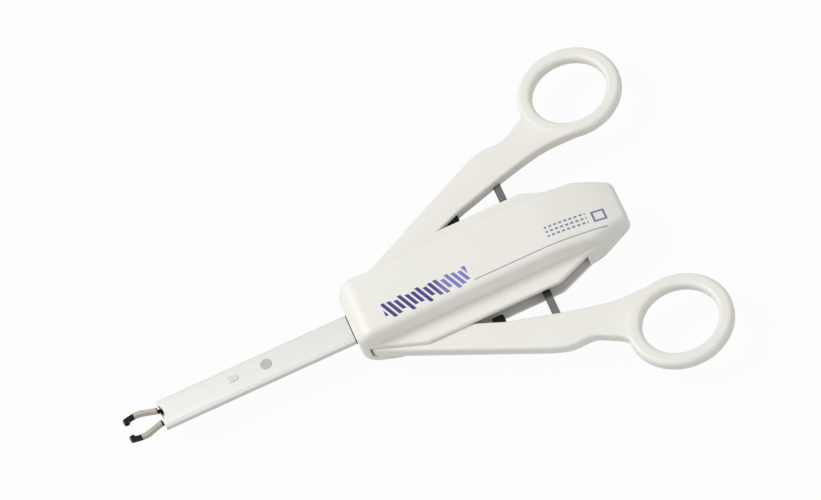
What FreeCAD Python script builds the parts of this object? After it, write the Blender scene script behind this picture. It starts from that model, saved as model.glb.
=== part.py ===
import FreeCAD, Part
import math
import os

# Ligating clip applier, in millimetres
# The model is laid out with x = 0 at the housing's nose face, +X towards the jaws, +Y to the
# user's left and z = 0 on the parting plane, then moved so that the origin lies on the underside
V = FreeCAD.Vector
Z_AXIS = V(0, 0, 1)

# Housing
housing_length = 117.0
tail_length = 35.0
tail_end_length = 20.0
plateau_half_width = 15.2
plateau_half_height = 12.2
nose_inset = 2.0
nose_half_width = plateau_half_width - nose_inset
nose_half_height = 6.5
nose_slope_length = 8.0
underside_nose_depth = 5.0
underside_slope_length = 20.0
wing_half_width = 23.8
wing_flare_angle = 23.0
wing_half_height = 4.4
wing_rear_x = tail_length - housing_length
tail_knee_x = tail_end_length - housing_length
tail_knee_spread = 1.8
tail_knee_half_width = plateau_half_width + tail_knee_spread
tail_half_width = 10.0
tail_top_z = 5.5
tail_bottom_z = 2.4
tail_top_shares = [(0.486, 0.30), (0.80, 0.64)]
tail_bottom_shares = [(0.633, 0.51), (0.857, 0.796)]
plateau_blend_radius = 8.0
shell_wall = 2.0
plateau_edge_radius = 3.0
underside_edge_radius = 2.0
wing_edge_radius = 1.0
wing_tail_overlap = 1.6
nose_corner_radius = 5.0
wing_corner_radius = 5.0
tail_corner_radius = 4.0
nose_block_length = 16.0
nose_wall = 3.2
handle_slot_half_height = 2.8
low_cavity_half_height = 6.0

# Fits
sliding_gap = 0.10
running_gap = 0.05
side_gap = 0.30
fuse_overlap = 0.05

# Handles
pivot_x = -9.0
pivot_y = 12.0
pivot_pin_radius = 2.0
pivot_pin_half_length = 7.0
eye_radius = 5.4
blade_half_thickness = 2.5
blade_edge_radius = 1.1
close_angle = 14.0
inner_edge_angle = 26.0
ring_behind_tail = 0.8
ring_x = -housing_length - ring_behind_tail
ring_y = 62.1
ring_hole_radius = 15.4
ring_band_width = 6.0
ring_thickness = 5.4
ring_edge_radius = 2.0
blade_in_ring = 0.7
neck_outer_shares = [(0.131, 0.131), (0.359, 0.262), (0.605, 0.268), (0.791, 0.484)]
neck_inner_shares = [(0.150, 0.26), (0.335, 0.55), (0.520, 0.809), (0.705, 1.0)]

# Drive arms, their rivets and cam pins
arm_before_wing_end = 6.5
arm_x = wing_rear_x + arm_before_wing_end
arm_width = 3.2
arm_thickness = 1.6
arm_level = 1.2
arm_outer_y = 46.5
arm_end_radius = 3.0
arm_rivet_radius = 1.2
arm_rivet_inset = 5.9
arm_rivet_first_y = arm_outer_y - arm_rivet_inset
arm_rivet_pitch = 4.0
arm_rivet_cover = 0.4
cam_pin_y = 9.0
cam_pin_radius = 1.5
shoulder_before_arm = 9.5
shoulder_x = arm_x + shoulder_before_arm
shoulder_y = 48.8
shoulder_blend_length = 8.0

# Stop tabs
stop_before_arm = 21.5
stop_x = arm_x + stop_before_arm
stop_length = 5.0
stop_toe_gap = 0.5
stop_toe_y = wing_half_width + stop_toe_gap
stop_depth = 6.2
stop_thickness = 2.0
stop_toe_radius = 1.0

# Drive slide
stroke = 8.0
slide_plate_z = 2.6
slide_plate_thickness = 1.6
slide_before_arm = 19.1
slide_behind_arm = 11.5
slide_front_x = arm_x + slide_before_arm
slide_rear_x = arm_x - slide_behind_arm
slide_half_width = plateau_half_width - shell_wall - side_gap
slide_web_inner_y = 7.0
slide_web_outer_y = 11.5
slide_web_length = 8.0
slide_lug_length = 4.0
slide_lug_half_width = 4.0
slide_lug_below_rod = 2.4
slide_rear_room = 3.0
slot_end_margin = 1.0
handle_slot_rear_x = tail_knee_x + slot_end_margin
low_cavity_rear_x = slide_rear_x - slide_rear_room

# Feed gear: a pinion between a rack on the slide and a rack on the feed bar
gear_module = 1.0
pinion_teeth = 12
tooth_addendum = 0.8
tooth_dedendum = 1.05
tooth_backlash = 0.16
pressure_angle = 20.0
pinion_before_slide = 6.4
pinion_x = slide_front_x + pinion_before_slide
gear_z = 5.0
gear_thickness = 2.0
rack_thickness = 2.75
rack_outer_y = gear_module * pinion_teeth / 2 + tooth_dedendum + rack_thickness
rack_lead = 3.0
rack_run_out = 4.0
pinion_pin_radius = 1.5
pinion_pin_head_radius = 2.4
pinion_pin_head_z = 4.5
pinion_pin_cover = 1.0
pinion_pin_top_z = plateau_half_height - pinion_pin_cover
pinion_boss_radius = 3.0

# Guide rod and return spring
guide_rod_radius = 1.1
guide_rod_z = -7.2
guide_rod_overhang = 11.6
guide_rod_rear_x = slide_front_x - guide_rod_overhang
rod_seat_length = 4.0
return_spring_radius = 2.3
return_spring_wire = 0.8
return_spring_turns = 9

# Shaft
shaft_length = 82.5
shaft_half_width = 6.15
shaft_half_height = 2.15
shaft_sheet = 0.5
shaft_rear_x = guide_rod_rear_x
cover_rear_x = -nose_block_length
shaft_bend_radius = 0.4
window_setback = 46.0
window_x = shaft_length - window_setback
window_radius = 2.0
small_window_setback = 31.8
small_window_x = shaft_length - small_window_setback
small_window_length = 3.6
small_window_width = 1.8
window_y = -0.8
mouth_notch_radius = 6.5
mouth_notch_depth = 1.6

# Cam channel
channel_floor_thickness = 0.4
channel_wall_setback = 4.0
channel_wall_rear_x = cover_rear_x - channel_wall_setback
channel_wall = 0.5
cam_face_y = 3.75
cam_setback = 1.0
cam_front_x = shaft_length - cam_setback
cam_length = 7.5
cam_lead = 0.6
cam_top_z = 1.3
channel_pin_setback = 3.6
channel_pin_x = slide_front_x - channel_pin_setback
channel_pin_radius = 1.5
channel_tail = 4.0
channel_rear_x = channel_pin_x - channel_tail

# Jaws
jaw_length = 15.0
jaw_reach = shaft_length + jaw_length
jaw_hinge_setback = 18.5
jaw_hinge_x = shaft_length - jaw_hinge_setback
jaw_hinge_y = 2.0
jaw_heel_radius = 1.5
jaw_heel_length = 2.0
jaw_land_length = 6.0
jaw_angle = 5.4
jaw_tip_y = 4.4
jaw_tip_half_width = 1.15
jaw_tip_length = 2.6
jaw_tip_bulge = 0.3
jaw_bow_y = 6.3
jaw_bow_share = 0.32
jaw_arm_width = 1.7
jaw_neck_y = 2.1
jaw_neck_shares = (0.41, 0.44)
jaw_half_thickness = 1.1
jaw_plate_thickness = 0.65
jaw_thick_gap = 0.5
jaw_thick_from_x = shaft_length + jaw_thick_gap
jaw_pin_radius = 0.6
jaw_groove_depth = 0.5
jaw_groove_width = 0.8
jaw_groove_end = 0.6
jaw_base_length = 14.0
jaw_base_rivet_setback = 10.0
jaw_base_rivet_x = jaw_hinge_x - jaw_base_rivet_setback
jaw_base_rivet_y = 1.8

# Clip track, clips and follower
track_floor_z = -0.35
track_sheet = 0.4
track_half_width = 4.3
track_rail_inner_y = 3.0
track_rail_wall = 0.3
track_rail_top_z = 0.8
track_setback = 2.5
track_front_x = shaft_length - track_setback
track_leg_setback = 8.0
track_leg_front_x = track_front_x - track_leg_setback
track_rear_inset = 3.0
track_rear_x = shaft_rear_x + track_rear_inset
track_pin_inset = 1.6
track_pin_x = shaft_rear_x + track_pin_inset
track_pin_radius = 0.8
track_end_margin = 0.6
clip_count = 20
clip_pitch = 5.0
clip_half_width = 2.8
clip_leg = 2.4
clip_length = 4.2
clip_apex_half_width = 0.9
clip_wire = 0.6
first_clip_setback = 7.9
first_clip_x = shaft_length - first_clip_setback
follower_seat_length = 2.0
follower_half_width = 2.6
spring_seat_length = 1.0
spring_seat_top_z = 2.3
follower_spring_radius = 0.9
follower_spring_wire = 0.4
follower_spring_turns = 12

# Feed bar
feed_bar_z = 0.85
feed_bar_thickness = 0.6
feed_bar_half_width = 1.8
feed_shoe_half_width = 2.4
feed_shoe_length = 5.0
feed_shoe_chamfer = 0.35
feed_bar_setback = 3.5
feed_bar_front_x = shaft_length - feed_bar_setback
feed_post_setback = 6.0
feed_post_x = -nose_block_length - feed_post_setback
feed_post_length = 4.0
follower_room = 0.7

# The follower's seat stays behind the feed post, also one clip further on at full squeeze
follower_rear_x = (feed_post_x - feed_post_length - stroke - clip_pitch
                   - follower_seat_length - follower_room)

# Posts and pegs that join the shells
post_before_pinion = 4.0
post_x = pinion_x + post_before_pinion
post_radius = 1.6
post_in_wall = 0.1
post_y = plateau_half_width - shell_wall + post_in_wall - post_radius
peg_inset = 13.0
peg_x = peg_inset - housing_length
peg_y = 5.0
peg_radius = 1.5
peg_length = 3.0

# The flat underside is centred between the nose slope and the rising tail
underside_rise_length = 14.0
underside_rear_x = wing_rear_x + underside_rise_length
origin_x = (underside_rear_x - underside_slope_length) / 2
origin_z = -plateau_half_height


def box(x0, x1, y0, y1, z0, z1):
    """A block between two opposite corners."""
    low = V(min(x0, x1), min(y0, y1), min(z0, z1))
    return Part.makeBox(abs(x1 - x0), abs(y1 - y0), abs(z1 - z0), low)


def rod(radius, x, y, z0, z1):
    """An upright cylinder."""
    return Part.makeCylinder(radius, abs(z1 - z0), V(x, y, min(z0, z1)), Z_AXIS)


def prism(wire, z0, z1):
    """A closed flat wire, drawn at z = 0, as a plate between two levels."""
    face = Part.Face(wire)
    face.translate(V(0, 0, min(z0, z1)))
    return face.extrude(V(0, 0, abs(z1 - z0)))


def polygon(points):
    """A closed wire through plan points."""
    corners = [V(x, y, 0) for x, y in points]
    return Part.makePolygon(corners + corners[:1])


def wire(*curves):
    """A closed wire from curves that follow one another."""
    return Part.Wire(Part.__sortEdges__([curve.toShape() for curve in curves]))


def line(start, end):
    return Part.LineSegment(V(*start, 0), V(*end, 0))


def spline(points, start_tangent=None, end_tangent=None):
    """A smooth plan curve through points, with the end directions where they matter."""
    curve = Part.BSplineCurve()
    vectors = [V(x, y, 0) for x, y in points]
    if start_tangent is None:
        curve.interpolate(vectors)
    else:
        curve.interpolate(Points=vectors, InitialTangent=V(*start_tangent, 0),
                          FinalTangent=V(*end_tangent, 0))
    return curve


def through(start, shares, end):
    """Points from start to end by way of shares of the run and of the rise between them."""
    dx, dy = end[0] - start[0], end[1] - start[1]
    return [start] + [(start[0] + dx * along, start[1] + dy * across) for along, across in shares] + [end]


def mirrored(shape):
    """The same piece on the other side of the middle plane."""
    return shape.mirror(V(0, 0, 0), V(0, 1, 0))


def turned(point, centre, degrees):
    """A plan point turned about a centre, anticlockwise seen from above."""
    angle = math.radians(degrees)
    dx, dy = point[0] - centre[0], point[1] - centre[1]
    return (centre[0] + dx * math.cos(angle) - dy * math.sin(angle),
            centre[1] + dx * math.sin(angle) + dy * math.cos(angle))


def near_z(shape, level):
    """The edges of a shape that lie flat at one level."""
    return [edge for edge in shape.Edges
            if all(abs(vertex.Z - level) < 0.01 for vertex in edge.Vertexes)]


def slot_along(path, radius, z0, z1):
    """A round-ended slot whose middle line is a short smooth curve, as a cutter."""
    def offset(side):
        points = []
        for i, (x, y) in enumerate(path):
            before, after = path[max(i - 1, 0)], path[min(i + 1, len(path) - 1)]
            dx, dy = after[0] - before[0], after[1] - before[1]
            size = math.hypot(dx, dy)
            points.append((x - side * radius * dy / size, y + side * radius * dx / size))
        return points
    left, right = offset(1), offset(-1)
    middle = prism(wire(spline(left), line(left[-1], right[-1]), spline(right),
                        line(right[0], left[0])), z0, z1)
    ends = [rod(radius, *path[0], z0, z1), rod(radius, *path[-1], z0, z1)]
    return middle.fuse(ends).removeSplitter()


def save(node, *solids):
    """Write one named piece, moved so that the origin is on the underside."""
    shape = solids[0] if len(solids) == 1 else Part.makeCompound(list(solids))
    shape = shape.copy()
    shape.translate(V(-origin_x, 0, -origin_z))
    shape.exportStep(os.path.join("parts", node + ".step"))


# Housing shells
def rounded(corners):
    """A closed wire of straight runs; each corner is (x, y, radius)."""
    curves, ends = [], []
    count = len(corners)
    for i, (x, y, radius) in enumerate(corners):
        corner = V(x, y, 0)
        before = (V(*corners[i - 1][:2], 0) - corner).normalize()
        after = (V(*corners[(i + 1) % count][:2], 0) - corner).normalize()
        half_turn = before.getAngle(after) / 2
        reach = radius / math.tan(half_turn)
        start, end = corner + before * reach, corner + after * reach
        bisector = (before + after).normalize()
        middle = corner + bisector * (radius / math.sin(half_turn) - radius)
        curves.append(Part.Arc(start, middle, end))
        ends.append((start, end))
    for i in range(count):
        curves.append(Part.LineSegment(ends[i - 1][1], ends[i][0]))
    return wire(*curves)


def flare_x(half_width):
    """Where the sides, which spread from the nose, reach a half width."""
    return (nose_half_width - half_width) / math.tan(math.radians(wing_flare_angle))


def housing_outline():
    """The plan of both shells: nose, wings and the tapered tail."""
    half = [(0, nose_half_width, nose_corner_radius),
            (flare_x(wing_half_width), wing_half_width, wing_corner_radius),
            (wing_rear_x, wing_half_width, wing_corner_radius),
            (tail_knee_x, tail_knee_half_width, wing_corner_radius),
            (-housing_length, tail_half_width, tail_corner_radius)]
    return rounded(half + [(x, -y, radius) for x, y, radius in reversed(half)])


def tail_meets_x():
    """Where the sides of the raised middle reach the outline of the tail."""
    share = (tail_knee_half_width - plateau_half_width) / (tail_knee_half_width - tail_half_width)
    return tail_knee_x - share * (housing_length + tail_knee_x)


def raised_outline():
    """The plan of the raised middle, which follows the outline at the nose and at the tail."""
    half = [(0, nose_half_width, nose_corner_radius),
            (flare_x(plateau_half_width), plateau_half_width, plateau_blend_radius),
            (tail_meets_x(), plateau_half_width, plateau_blend_radius),
            (-housing_length, tail_half_width, tail_corner_radius)]
    return rounded(half + [(x, -y, radius) for x, y, radius in reversed(half)])


def side_profile(level):
    """The side view of one shell: rounded nose, flat face and a tail that tapers to its end."""
    top, end = plateau_half_height, -housing_length
    if level > 0:
        nose, slope, rise = nose_half_height, nose_slope_length, (-0.45, 1)
        tail = through((wing_rear_x, top), tail_top_shares, (end, tail_top_z))
    else:
        nose, slope, rise = underside_nose_depth, underside_slope_length, (-1, 0.3)
        tail = through((underside_rear_x, top), tail_bottom_shares, (end, tail_bottom_z))
    taper = spline(tail, (-1, 0), (-1, -0.35))
    brow = spline([(0, nose), (-slope, top)], rise, (-1, 0))
    flat = wire(brow, line((-slope, top), tail[0]), taper, line(tail[-1], (end, 0)),
                line((end, 0), (0, 0)), line((0, 0), (0, nose)))
    solid = prism(flat, -2 * wing_half_width, 2 * wing_half_width)
    solid.rotate(V(0, 0, 0), V(1, 0, 0), 90)
    return solid


def is_rim(edge):
    """True for an edge of the rim between the walls and the top face."""
    extent = edge.BoundBox
    across = extent.YMin < 0 < extent.YMax
    at_an_end = extent.XMin > -0.01 or extent.XMax < 0.01 - housing_length
    upright = max(extent.XLength, extent.YLength) < 0.01
    return extent.ZMin > 0.5 and not upright and (at_an_end or not across)


def shell_form(level):
    """The closed outer form of one shell, modelled upwards from the parting plane."""
    side = side_profile(level)
    raised = prism(raised_outline(), 0, 2 * plateau_half_height).common(side)
    radius = plateau_edge_radius if level > 0 else underside_edge_radius
    raised = raised.makeFillet(radius, [edge for edge in raised.Edges if is_rim(edge)])
    wing = prism(housing_outline(), 0, wing_half_height).common(side)
    wing = wing.makeFillet(wing_edge_radius, near_z(wing, wing_half_height))
    behind = box(tail_meets_x() - wing_tail_overlap, -2 * housing_length,
                 -wing_half_width, wing_half_width, -1, 2 * wing_half_height)
    return raised.fuse(wing.cut(behind))


def housing_cavity():
    """The room inside: the raised middle, the handle slot and the shaft's way in."""
    inner_y = plateau_half_width - shell_wall
    inner_z = plateau_half_height - shell_wall
    upper = box(-nose_block_length, wing_rear_x, -inner_y, inner_y, 0, inner_z)
    lower = box(-nose_block_length, guide_rod_rear_x, -inner_y, inner_y, -inner_z, 0)
    rear = box(-nose_block_length, low_cavity_rear_x, -inner_y, inner_y,
               -low_cavity_half_height, low_cavity_half_height)
    reach = 2 * wing_half_width
    slot_z = handle_slot_half_height
    passage_y = shaft_half_width + sliding_gap
    passage_z = shaft_half_height + sliding_gap
    passage = box(1, -nose_block_length - 1, -passage_y, passage_y, -passage_z, passage_z)
    slots = [box(-nose_wall, handle_slot_rear_x, side * passage_y, side * reach, -slot_z, slot_z)
             for side in (1, -1)]
    middle = box(-nose_block_length, handle_slot_rear_x, -passage_y, passage_y, -slot_z, slot_z)
    return upper.fuse([lower, rear, passage, middle] + slots).removeSplitter()


def shell_ribs(level):
    """What stands inside one shell: rails over the slide, posts and the seats of rod and pinion."""
    inner_y = plateau_half_width - shell_wall
    inner_z = plateau_half_height - shell_wall
    rail_z = slide_plate_z + slide_plate_thickness + sliding_gap
    ribs = []
    for side in (1, -1):
        ribs.append(rod(post_radius, post_x, side * post_y, 0, level * inner_z))
        ribs.append(box(slide_front_x + stroke, wing_rear_x, side * (rack_outer_y + side_gap),
                        side * inner_y, level * rail_z, level * inner_z))
    if level > 0:
        boss_z = gear_z + gear_thickness + sliding_gap
        ribs.append(rod(pinion_boss_radius, pinion_x, 0, boss_z, inner_z))
    else:
        ribs.append(box(guide_rod_rear_x, guide_rod_rear_x + rod_seat_length, -slide_lug_half_width,
                        slide_lug_half_width, -inner_z, -rail_z))
    return ribs


def guide_rod():
    """The rod under the slide, from the nose block to its seat behind the slide's lug."""
    front = rod_seat_length - nose_block_length
    return Part.makeCylinder(guide_rod_radius, front - guide_rod_rear_x,
                             V(guide_rod_rear_x, 0, guide_rod_z), V(1, 0, 0))


def housing_shells():
    cavity = housing_cavity()
    half_pin = pivot_pin_half_length
    bores = [rod(pivot_pin_radius, pivot_x, side * pivot_y, -half_pin, half_pin) for side in (1, -1)]
    bores += [guide_rod(), rod(pinion_pin_radius, pinion_x, 0, gear_z, pinion_pin_top_z)]
    pegs = [rod(peg_radius, peg_x, side * peg_y, 1, -peg_length) for side in (1, -1)]
    sockets = [rod(peg_radius + running_gap, peg_x, side * peg_y, 0, -peg_length - side_gap)
               for side in (1, -1)]
    upper = shell_form(1).cut(cavity).fuse(shell_ribs(1)).cut(bores)
    save("upper_housing", upper.fuse(pegs))
    lower = shell_form(-1).mirror(V(0, 0, 0), Z_AXIS)
    save("lower_housing", lower.cut(cavity).fuse(shell_ribs(-1)).cut(bores + sockets))


# Handles
def handle_outline():
    """The left handle's plan: eye, blade, shoulder and neck up to the ring."""
    dx, dy = pivot_x - shoulder_x, shoulder_y - pivot_y
    outer_angle = math.atan2(dy, dx) - math.asin(eye_radius / math.hypot(dx, dy))
    inner_angle = math.radians(inner_edge_angle)
    outer_way = (-math.cos(outer_angle), math.sin(outer_angle))
    inner_way = (-math.cos(inner_angle), math.sin(inner_angle))
    outer_start = (pivot_x + eye_radius * outer_way[1], pivot_y - eye_radius * outer_way[0])
    inner_start = (pivot_x - eye_radius * inner_way[1], pivot_y + eye_radius * inner_way[0])
    knee = (stop_x, inner_start[1] + (inner_start[0] - stop_x) * math.tan(inner_angle))
    blend = (shoulder_x + shoulder_blend_length,
             shoulder_y - shoulder_blend_length * math.tan(outer_angle))
    ring_reach = ring_hole_radius + ring_band_width - blade_in_ring
    ring_side = (ring_x + ring_reach, ring_y + ring_band_width / 4)
    ring_foot = (ring_x, ring_y - ring_reach)
    outer = spline([blend] + through((shoulder_x, shoulder_y), neck_outer_shares, ring_side)[1:],
                   outer_way, (-0.1, 1.0))
    inner = spline(through(knee, neck_inner_shares, ring_foot), inner_way, (-1, 0))
    front = Part.Arc(V(*outer_start, 0), V(pivot_x + eye_radius, pivot_y, 0), V(*inner_start, 0))
    return wire(front, line(outer_start, blend), outer, line(ring_side, (ring_x, ring_y)),
                line((ring_x, ring_y), ring_foot), inner, line(knee, inner_start))


def finger_ring():
    """The rounded ring, turned about its own axis."""
    inner, half_height = ring_hole_radius, ring_thickness / 2
    outer = inner + ring_band_width
    corners = [(inner, -half_height), (outer, -half_height), (outer, half_height), (inner, half_height)]
    section = Part.makePolygon([V(x, 0, z) for x, z in corners + corners[:1]])
    ring = Part.Face(section).revolve(V(0, 0, 0), Z_AXIS, 360)
    ring = ring.makeFillet(ring_edge_radius, near_z(ring, half_height) + near_z(ring, -half_height))
    ring.translate(V(ring_x, ring_y, 0))
    return ring


def left_handle(arm_z):
    """One handle with its eye bore and the pockets for the drive arm and the stop tab."""
    half = blade_half_thickness
    blade = prism(handle_outline(), -half, half)
    blade = blade.cut(rod(ring_hole_radius + blade_in_ring, ring_x, ring_y, -2 * half, 2 * half))
    blade = blade.makeFillet(blade_edge_radius, near_z(blade, half) + near_z(blade, -half))
    solid = blade.fuse(finger_ring()).removeSplitter()
    bore = rod(pivot_pin_radius + running_gap, pivot_x, pivot_y, -2 * half, 2 * half)
    arm_pocket = box(arm_x - arm_width / 2, arm_x + arm_width / 2, wing_half_width, arm_outer_y,
                     arm_z - arm_thickness / 2, arm_z + arm_thickness / 2)
    return solid.cut([bore, arm_pocket, stop_tab()] + arm_rivets())


def arm_rivets():
    """The rivets moulded into the blade, which hold the drive arm."""
    half = blade_half_thickness - arm_rivet_cover
    return [rod(arm_rivet_radius, arm_x, y, -half, half)
            for y in (arm_rivet_first_y, arm_rivet_first_y + arm_rivet_pitch)]


def stop_tab():
    """A flat steel tab with a rounded toe, let into the blade's inner edge."""
    half = stop_length / 2
    body = box(stop_x - half, stop_x + half, stop_toe_y, stop_toe_y + stop_depth,
               -stop_thickness / 2, stop_thickness / 2)
    corners = [edge for edge in body.Edges
               if abs(edge.BoundBox.YMax - stop_toe_y) < 0.01 and edge.BoundBox.ZLength > 1]
    return body.makeFillet(stop_toe_radius, corners)


def drive_arm(arm_z):
    """The strut from the handle to the cam pin, with a round eye at its inner end."""
    z0, z1 = arm_z - arm_thickness / 2, arm_z + arm_thickness / 2
    bar = box(arm_x - arm_width / 2, arm_x + arm_width / 2, cam_pin_y, arm_outer_y, z0, z1)
    eye = rod(arm_end_radius, arm_x, cam_pin_y, z0, z1)
    pin_bore = rod(cam_pin_radius, arm_x, cam_pin_y, z0, z1)
    return bar.fuse(eye).cut([pin_bore] + arm_rivets()).removeSplitter()


def cam_pin(level):
    """The pin in the arm's eye that works in the slide's slot; level is 1 above and -1 below."""
    inner = level * (arm_level - arm_thickness / 2)
    outer = level * (slide_plate_z + slide_plate_thickness)
    return rod(cam_pin_radius, arm_x, cam_pin_y, inner, outer)


def handles():
    """Left pieces work above the middle plane, right pieces below it."""
    pin_z = pivot_pin_half_length
    for side, level in (("left", 1), ("right", -1)):
        arm_z = level * arm_level
        pieces = {
            "handle": [left_handle(arm_z)],
            "drive_arm": [drive_arm(arm_z)],
            "arm_rivets": arm_rivets(),
            "cam_pin": [cam_pin(level)],
            "stop_tab": [stop_tab()],
            "pivot_pin": [rod(pivot_pin_radius, pivot_x, pivot_y, -pin_z, pin_z)],
        }
        for name, solids in pieces.items():
            placed = solids if side == "left" else [mirrored(solid) for solid in solids]
            save(side + "_" + name, *placed)


# Drive slide
def cam_path():
    """The cam pin's path in the slide while the handle closes and the slide moves forward."""
    path = []
    for i in range(9):
        share = i / 8
        x, y = turned((arm_x, cam_pin_y), (pivot_x, pivot_y), close_angle * share)
        path.append((x - stroke * share, y))
    return path


def rack_teeth(x0, x1, side):
    """Rack teeth along X that mesh with the pinion from one side; one space faces its centre."""
    pitch = math.pi * gear_module
    radius = gear_module * pinion_teeth / 2
    tip_y = radius - tooth_addendum
    root_y = radius + tooth_dedendum
    slant = math.tan(math.radians(pressure_angle))
    half_at_pitch = (pitch - tooth_backlash) / 4
    teeth = []
    first = math.ceil((x0 - pinion_x) / pitch - 0.5)
    last = math.floor((x1 - pinion_x) / pitch - 0.5)
    for i in range(first, last + 1):
        centre = pinion_x + (i + 0.5) * pitch
        tip = half_at_pitch - tooth_addendum * slant
        root = half_at_pitch + (tooth_dedendum + fuse_overlap) * slant
        foot_y = root_y + fuse_overlap
        flanks = [(centre - tip, tip_y), (centre + tip, tip_y),
                  (centre + root, foot_y), (centre - root, foot_y)]
        teeth.append(prism(polygon(flanks), gear_z, gear_z + gear_thickness))
    bar = box(x0, x1, root_y, rack_outer_y, gear_z, gear_z + gear_thickness)
    rack = bar.fuse(teeth).removeSplitter()
    return rack if side > 0 else mirrored(rack)


def drive_slide():
    plates = []
    z0, z1 = slide_plate_z, slide_plate_z + slide_plate_thickness
    for level in (1, -1):
        plate = box(slide_front_x, slide_rear_x, -slide_half_width, slide_half_width,
                    level * z0, level * z1)
        slot = slot_along(cam_path(), cam_pin_radius + running_gap, -2 * z1, 2 * z1)
        plates.append(plate.cut(slot if level > 0 else mirrored(slot)))
    webs = [box(slide_front_x, slide_front_x - slide_web_length, side * slide_web_inner_y,
                side * slide_web_outer_y, -z0, z0) for side in (1, -1)]
    lug = box(slide_front_x, slide_front_x - slide_lug_length, -slide_lug_half_width,
              slide_lug_half_width, -z1, guide_rod_z - slide_lug_below_rod)
    root_y = rack_outer_y - rack_thickness
    rack_rear = pinion_x - stroke - rack_run_out
    rack = rack_teeth(rack_rear, pinion_x + rack_lead, 1)
    rack_foot = box(slide_front_x, rack_rear, root_y, rack_outer_y, z1, gear_z)
    slide = plates[0].fuse([plates[1], lug, rack, rack_foot] + webs)
    rod_bore = Part.makeCylinder(guide_rod_radius + sliding_gap, 2 * slide_lug_length,
                                 V(slide_front_x - 1.5 * slide_lug_length, 0, guide_rod_z), V(1, 0, 0))
    pin_bore = rod(channel_pin_radius, channel_pin_x, 0, -z1, -z0)
    save("drive_slide", slide.cut([rod_bore, pin_bore]).removeSplitter())


# Feed pinion
def involute_point(base_radius, roll):
    return (base_radius * (math.cos(roll) + roll * math.sin(roll)),
            base_radius * (math.sin(roll) - roll * math.cos(roll)))


def feed_pinion():
    radius = gear_module * pinion_teeth / 2
    base = radius * math.cos(math.radians(pressure_angle))
    tip, root = radius + tooth_addendum, radius - tooth_dedendum
    roll_at_tip = math.sqrt((tip / base) ** 2 - 1)
    roll_at_pitch = math.sqrt((radius / base) ** 2 - 1)
    angle_at_pitch = roll_at_pitch - math.atan(roll_at_pitch)
    half_tooth = math.pi / (2 * pinion_teeth) - tooth_backlash / (4 * radius)
    flank = []
    for i in range(6):
        x, y = involute_point(base, roll_at_tip * i / 5)
        flank.append(turned((x, y), (0, 0), -math.degrees(angle_at_pitch + half_tooth)))
    foot_angle = math.atan2(flank[0][1], flank[0][0])
    profile = [(root * math.cos(foot_angle), root * math.sin(foot_angle))] + flank
    tooth = profile + [(x, -y) for x, y in reversed(profile)]
    points = []
    for i in range(pinion_teeth):
        points += [turned(point, (0, 0), 360 * i / pinion_teeth) for point in tooth]
    gear = prism(polygon(points), gear_z, gear_z + gear_thickness)
    gear = gear.cut(rod(pinion_pin_radius + running_gap, 0, 0, 0, 2 * gear_z))
    gear.translate(V(pinion_x, 0, 0))
    save("feed_pinion", gear)
    head = rod(pinion_pin_head_radius, pinion_x, 0, pinion_pin_head_z, gear_z - running_gap)
    shank = rod(pinion_pin_radius, pinion_x, 0, pinion_pin_head_z, pinion_pin_top_z)
    save("pinion_pin", head.fuse(shank).removeSplitter())


# Return spring and guide rod
def coil(radius, wire_size, turns, x0, x1):
    """A compression spring along X, of square wire."""
    half = wire_size / 2
    length = abs(x1 - x0) - wire_size
    helix = Part.makeHelix(length / turns, length, radius)
    corners = [V(radius + x, 0, z) for x, z in ((-half, -half), (half, -half), (half, half), (-half, half))]
    section = Part.makePolygon(corners + corners[:1])
    spring = Part.Wire(helix.Edges).makePipeShell([section], True, True)
    spring.rotate(V(0, 0, 0), V(0, 1, 0), 90)
    spring.translate(V(min(x0, x1) + half, 0, 0))
    return spring


def return_drive():
    save("guide_rod", guide_rod())
    spring = coil(return_spring_radius, return_spring_wire, return_spring_turns,
                  -nose_block_length - running_gap, slide_front_x + running_gap)
    spring.translate(V(0, 0, guide_rod_z))
    save("return_spring", spring)


# Shaft
def shaft():
    width, height, sheet = shaft_half_width, shaft_half_height, shaft_sheet
    seam = height - sheet
    channel = box(shaft_rear_x, shaft_length, -width, width, -height, seam)
    inner = width - sheet
    channel = channel.cut(box(shaft_rear_x - 1, shaft_length + 1, -inner, inner, -height + sheet, height))
    bends = [edge for edge in near_z(channel, -height) if edge.BoundBox.XLength > shaft_length]
    channel = channel.makeFillet(shaft_bend_radius, bends)
    travel_slot = slot_along([(channel_pin_x - 1, 0), (channel_pin_x, 0), (channel_pin_x + stroke + 1, 0)],
                             channel_pin_radius + side_gap, -2 * height, 0)
    track_bore = rod(track_pin_radius, track_pin_x, 0, -2 * height, 0)
    save("shaft_channel", channel.cut([travel_slot, track_bore]))
    cover = box(cover_rear_x, shaft_length, -width, width, seam, height)
    bends = [edge for edge in near_z(cover, height) if edge.BoundBox.XLength > shaft_length]
    cover = cover.makeFillet(shaft_bend_radius, bends)
    half = (small_window_length - small_window_width) / 2
    small = slot_along([(small_window_x - half, window_y), (small_window_x, window_y),
                        (small_window_x + half, window_y)], small_window_width / 2, 0, 2 * height)
    window = rod(window_radius, window_x, window_y, 0, 2 * height)
    notch = rod(mouth_notch_radius, shaft_length + mouth_notch_radius - mouth_notch_depth, 0, 0, 2 * height)
    save("shaft_cover", cover.cut([small, window, notch]))


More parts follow.
